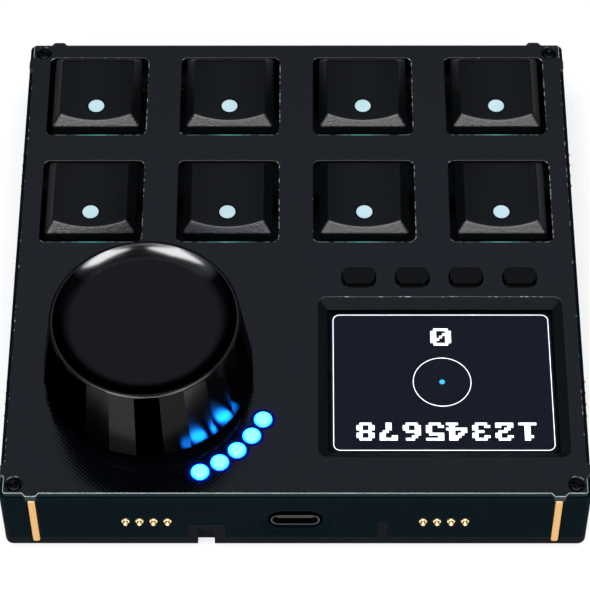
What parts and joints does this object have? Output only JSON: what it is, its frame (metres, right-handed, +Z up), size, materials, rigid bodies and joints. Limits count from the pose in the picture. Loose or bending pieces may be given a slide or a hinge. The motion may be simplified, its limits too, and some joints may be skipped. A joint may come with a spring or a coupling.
{
  "type": "midi controller",
  "caption": "Square desktop controller with lit keys, a large jog knob, menu buttons, a small display, and docking contacts with magnet rods on its sides.",
  "frame": {"origin": "bottom centre of the object, on the surface that its rubber feet stand on", "axes": "+X to the user's right, +Y away from the user, towards the key rows, +Z up"},
  "size_m": [0.1088, 0.1088, 0.0366],
  "materials": {
    "case_plastic": "moulded black plastic, fine satin",
    "tray_plastic": "moulded black plastic, fine satin",
    "foot_rubber": "soft matte rubber",
    "panel_laminate": "black mask over woven glass laminate, half gloss",
    "black_steel": "blackened steel",
    "board_laminate": "green mask",
    "plain_steel": "nickel plated",
    "chip_body": "moulded epoxy",
    "light_chip": "white ceramic",
    "switch_plastic": "moulded black plastic",
    "spring_steel": "bright wire",
    "knob_gloss": "black, high gloss on the side, satin on the top",
    "cap_plastic": "fine grained black plastic",
    "clear_stem": "milky clear plastic, softly lit",
    "button_plastic": "fine grained black plastic",
    "lit_pipe": "clear plastic, brightly lit",
    "display_back": "dark lit panel",
    "display_cover": "polished cover glass",
    "screen_lit": "lit screen pixels",
    "screen_blue": "lit screen pixels, blue",
    "ribbon_film": "polyimide film",
    "socket_metal": "nickel plated steel",
    "gold_plate": "gold plated brass",
    "gold_rod": "gold plated magnet"
  },
  "bodies": {
    "case": {"case_shell": "case_plastic", "base_tray": "tray_plastic", "rubber_feet": "foot_rubber", "top_panel": "panel_laminate", "corner_screws": "black_steel", "main_board": "board_laminate", "board_screws": "plain_steel", "board_chips": "chip_body", "light_chips": "light_chip", "switch_housings": "switch_plastic", "key_springs": "spring_steel", "menu_switches": "switch_plastic", "encoder_body": "plain_steel", "encoder_nut": "plain_steel", "light_pipes": "lit_pipe", "display_module": "display_back", "display_glass": "display_cover", "display_ribbon": "ribbon_film", "usb_shell": "socket_metal", "usb_tongue": "switch_plastic", "contact_blocks": "switch_plastic", "pin_barrels": "gold_plate"},
    "knob": {"jog_knob": "knob_gloss", "encoder_shaft": "plain_steel"},
    "key_1": {"key_cap_1": "cap_plastic", "key_stem_1": "clear_stem"},
    "key_2": {"key_cap_2": "cap_plastic", "key_stem_2": "clear_stem"},
    "key_3": {"key_cap_3": "cap_plastic", "key_stem_3": "clear_stem"},
    "key_4": {"key_cap_4": "cap_plastic", "key_stem_4": "clear_stem"},
    "key_5": {"key_cap_5": "cap_plastic", "key_stem_5": "clear_stem"},
    "key_6": {"key_cap_6": "cap_plastic", "key_stem_6": "clear_stem"},
    "key_7": {"key_cap_7": "cap_plastic", "key_stem_7": "clear_stem"},
    "key_8": {"key_cap_8": "cap_plastic", "key_stem_8": "clear_stem"},
    "button_1": {"menu_button_1": "button_plastic"},
    "button_2": {"menu_button_2": "button_plastic"},
    "button_3": {"menu_button_3": "button_plastic"},
    "button_4": {"menu_button_4": "button_plastic"},
    "contacts_front": {"pins_front": "gold_plate"},
    "contacts_right": {"pins_right": "gold_plate"},
    "contacts_back": {"pins_back": "gold_plate"},
    "contacts_left": {"pins_left": "gold_plate"},
    "rod_1": {"magnet_rod_1": "gold_rod"},
    "rod_2": {"magnet_rod_2": "gold_rod"},
    "rod_3": {"magnet_rod_3": "gold_rod"},
    "rod_4": {"magnet_rod_4": "gold_rod"},
    "rod_5": {"magnet_rod_5": "gold_rod"},
    "rod_6": {"magnet_rod_6": "gold_rod"},
    "rod_7": {"magnet_rod_7": "gold_rod"},
    "rod_8": {"magnet_rod_8": "gold_rod"}
  },
  "joints": [
    {"name": "knob_turn", "type": "hinge", "parent": "case", "child": "knob", "pos_m": [-0.027, -0.027, 0.0182], "axis": [0, 0, 1], "continuous": true},
    {"name": "key_1_press", "type": "slide", "parent": "case", "child": "key_1", "axis": [0, 0, -1], "range_m": [0, 0.0028], "stiffness_N_per_m": 110, "springref_m": -0.003, "deforming": ["key_springs"]},
    {"name": "key_2_press", "type": "slide", "parent": "case", "child": "key_2", "axis": [0, 0, -1], "range_m": [0, 0.0028], "stiffness_N_per_m": 110, "springref_m": -0.003, "deforming": ["key_springs"]},
    {"name": "key_3_press", "type": "slide", "parent": "case", "child": "key_3", "axis": [0, 0, -1], "range_m": [0, 0.0028], "stiffness_N_per_m": 110, "springref_m": -0.003, "deforming": ["key_springs"]},
    {"name": "key_4_press", "type": "slide", "parent": "case", "child": "key_4", "axis": [0, 0, -1], "range_m": [0, 0.0028], "stiffness_N_per_m": 110, "springref_m": -0.003, "deforming": ["key_springs"]},
    {"name": "key_5_press", "type": "slide", "parent": "case", "child": "key_5", "axis": [0, 0, -1], "range_m": [0, 0.0028], "stiffness_N_per_m": 110, "springref_m": -0.003, "deforming": ["key_springs"]},
    {"name": "key_6_press", "type": "slide", "parent": "case", "child": "key_6", "axis": [0, 0, -1], "range_m": [0, 0.0028], "stiffness_N_per_m": 110, "springref_m": -0.003, "deforming": ["key_springs"]},
    {"name": "key_7_press", "type": "slide", "parent": "case", "child": "key_7", "axis": [0, 0, -1], "range_m": [0, 0.0028], "stiffness_N_per_m": 110, "springref_m": -0.003, "deforming": ["key_springs"]},
    {"name": "key_8_press", "type": "slide", "parent": "case", "child": "key_8", "axis": [0, 0, -1], "range_m": [0, 0.0028], "stiffness_N_per_m": 110, "springref_m": -0.003, "deforming": ["key_springs"]},
    {"name": "button_1_press", "type": "slide", "parent": "case", "child": "button_1", "axis": [0, 0, -1], "range_m": [0, 0.00025], "stiffness_N_per_m": 2000, "springref_m": -0.0003},
    {"name": "button_2_press", "type": "slide", "parent": "case", "child": "button_2", "axis": [0, 0, -1], "range_m": [0, 0.00025], "stiffness_N_per_m": 2000, "springref_m": -0.0003},
    {"name": "button_3_press", "type": "slide", "parent": "case", "child": "button_3", "axis": [0, 0, -1], "range_m": [0, 0.00025], "stiffness_N_per_m": 2000, "springref_m": -0.0003},
    {"name": "button_4_press", "type": "slide", "parent": "case", "child": "button_4", "axis": [0, 0, -1], "range_m": [0, 0.00025], "stiffness_N_per_m": 2000, "springref_m": -0.0003},
    {"name": "contacts_front_press", "type": "slide", "parent": "case", "child": "contacts_front", "axis": [0, 1, 0], "range_m": [0, 0.0006], "stiffness_N_per_m": 2500, "springref_m": -0.0004},
    {"name": "contacts_right_press", "type": "slide", "parent": "case", "child": "contacts_right", "axis": [-1, 0, 0], "range_m": [0, 0.0006], "stiffness_N_per_m": 2500, "springref_m": -0.0004},
    {"name": "contacts_back_press", "type": "slide", "parent": "case", "child": "contacts_back", "axis": [0, -1, 0], "range_m": [0, 0.0006], "stiffness_N_per_m": 2500, "springref_m": -0.0004},
    {"name": "contacts_left_press", "type": "slide", "parent": "case", "child": "contacts_left", "axis": [1, 0, 0], "range_m": [0, 0.0006], "stiffness_N_per_m": 2500, "springref_m": -0.0004},
    {"name": "rod_1_turn", "type": "hinge", "parent": "case", "child": "rod_1", "pos_m": [-0.04755, -0.05195, 0.01], "axis": [0, 0, 1], "continuous": true},
    {"name": "rod_2_turn", "type": "hinge", "parent": "case", "child": "rod_2", "pos_m": [0.04755, -0.05195, 0.01], "axis": [0, 0, 1], "continuous": true},
    {"name": "rod_3_turn", "type": "hinge", "parent": "case", "child": "rod_3", "pos_m": [0.05195, -0.04755, 0.01], "axis": [0, 0, 1], "continuous": true},
    {"name": "rod_4_turn", "type": "hinge", "parent": "case", "child": "rod_4", "pos_m": [0.05195, 0.04755, 0.01], "axis": [0, 0, 1], "continuous": true},
    {"name": "rod_5_turn", "type": "hinge", "parent": "case", "child": "rod_5", "pos_m": [0.04755, 0.05195, 0.01], "axis": [0, 0, 1], "continuous": true},
    {"name": "rod_6_turn", "type": "hinge", "parent": "case", "child": "rod_6", "pos_m": [-0.04755, 0.05195, 0.01], "axis": [0, 0, 1], "continuous": true},
    {"name": "rod_7_turn", "type": "hinge", "parent": "case", "child": "rod_7", "pos_m": [-0.05195, 0.04755, 0.01], "axis": [0, 0, 1], "continuous": true},
    {"name": "rod_8_turn", "type": "hinge", "parent": "case", "child": "rod_8", "pos_m": [-0.05195, -0.04755, 0.01], "axis": [0, 0, 1], "continuous": true}
  ]
}
